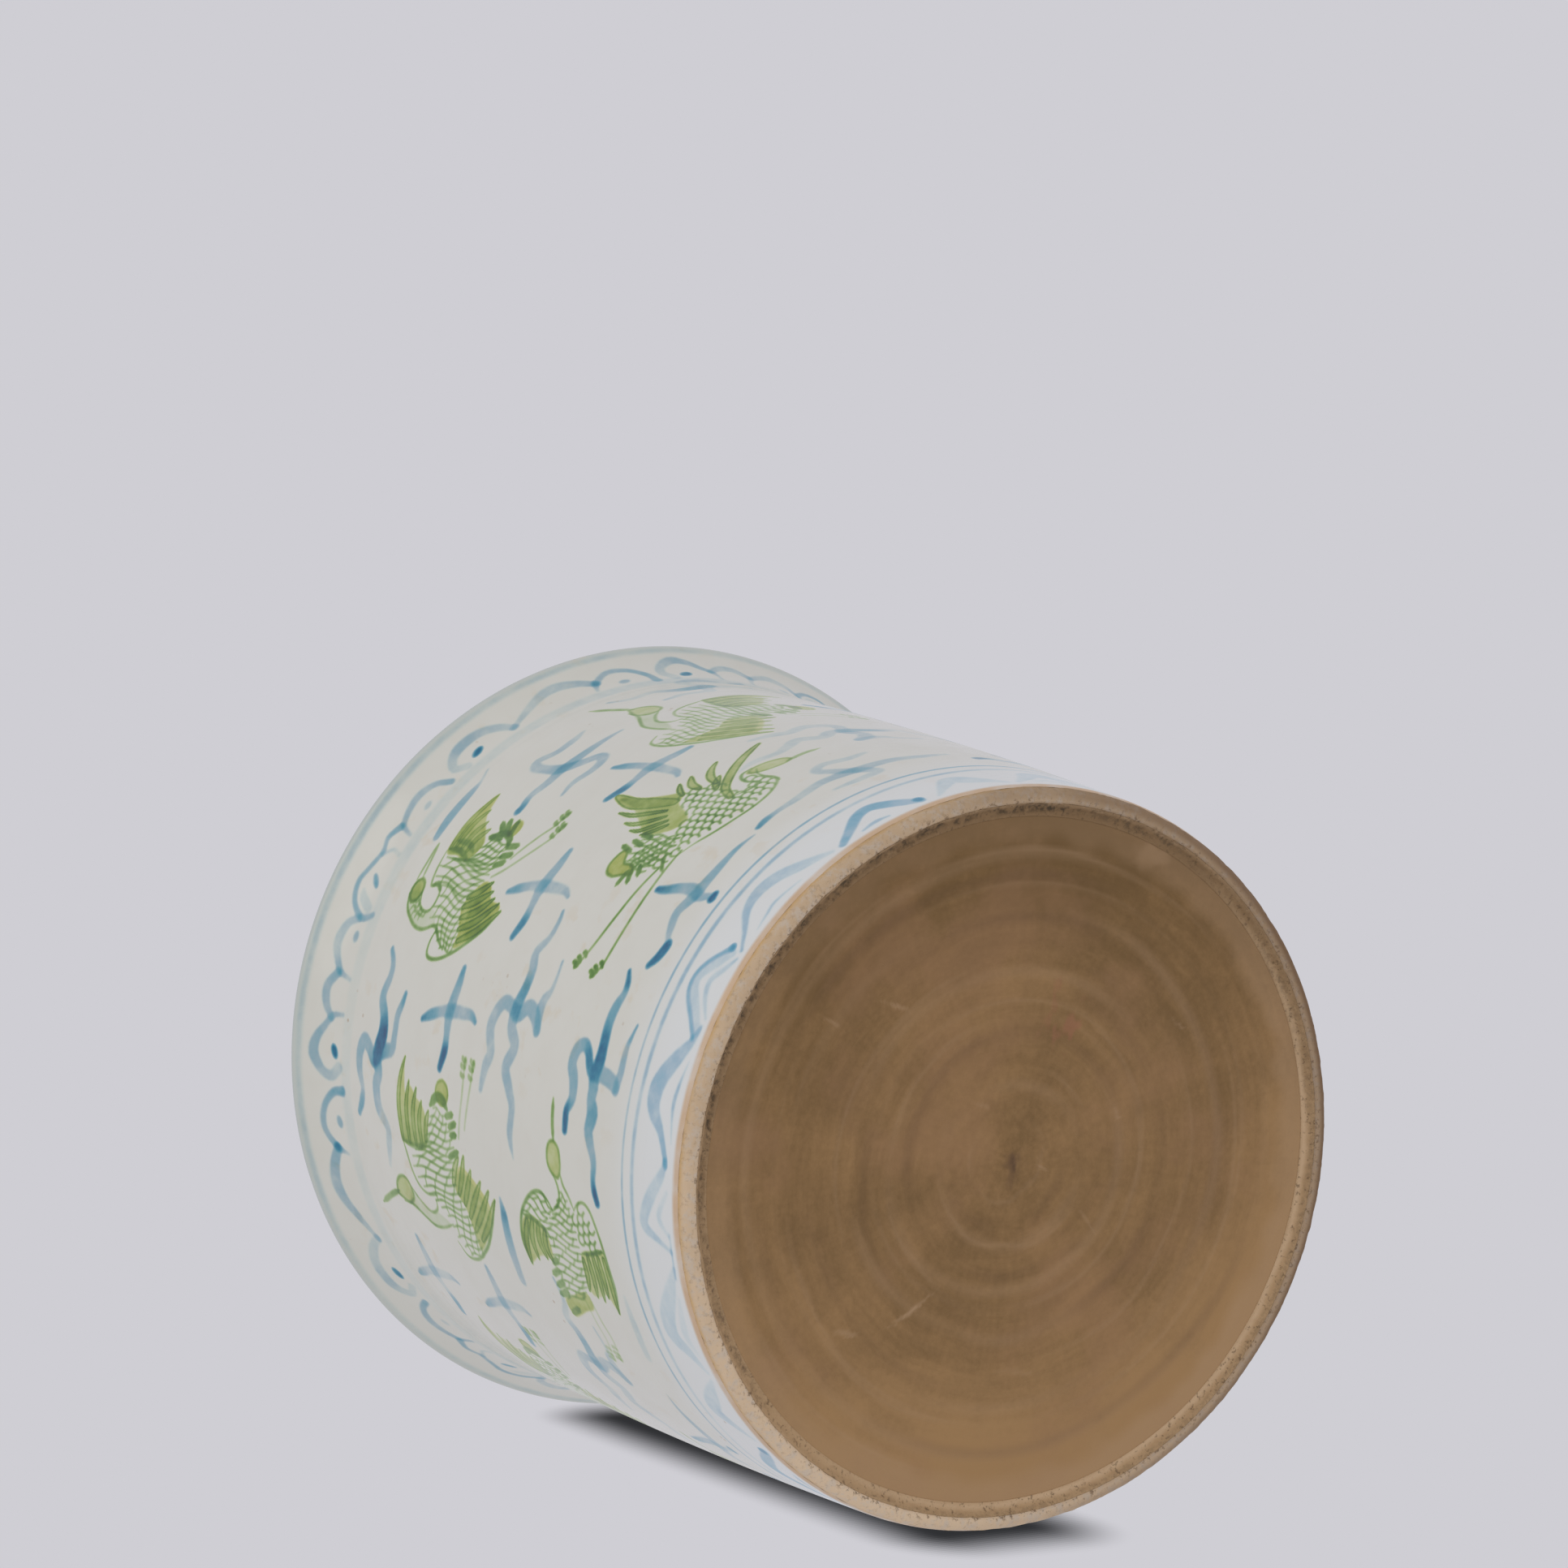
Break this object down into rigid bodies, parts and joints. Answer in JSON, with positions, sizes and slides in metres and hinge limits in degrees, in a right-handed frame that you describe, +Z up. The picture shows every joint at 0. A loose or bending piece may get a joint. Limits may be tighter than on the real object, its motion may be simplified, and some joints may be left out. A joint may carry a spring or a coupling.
{
  "type": "brush pot",
  "caption": "Round ceramic brush pot with a flared mouth, bare turned foot and hand painted glaze, for standing brushes in.",
  "frame": {"origin": "centre of the plane the foot ring rests on", "axes": "+Z up the pot's turning axis, towards the mouth; the pot is round, so +X and +Y are free"},
  "size_m": [0.1882, 0.1882, 0.175],
  "materials": {
    "bare_clay": "matte",
    "base_clay": "matte",
    "seam_clay": "rough",
    "painted_glaze": "gloss",
    "plain_glaze": "gloss"
  },
  "bodies": {
    "root": {"wall": "bare_clay", "base_disc": "base_clay", "luting_seam": "seam_clay", "outer_glaze": "painted_glaze", "inner_glaze": "plain_glaze"}
  },
  "joints": []
}
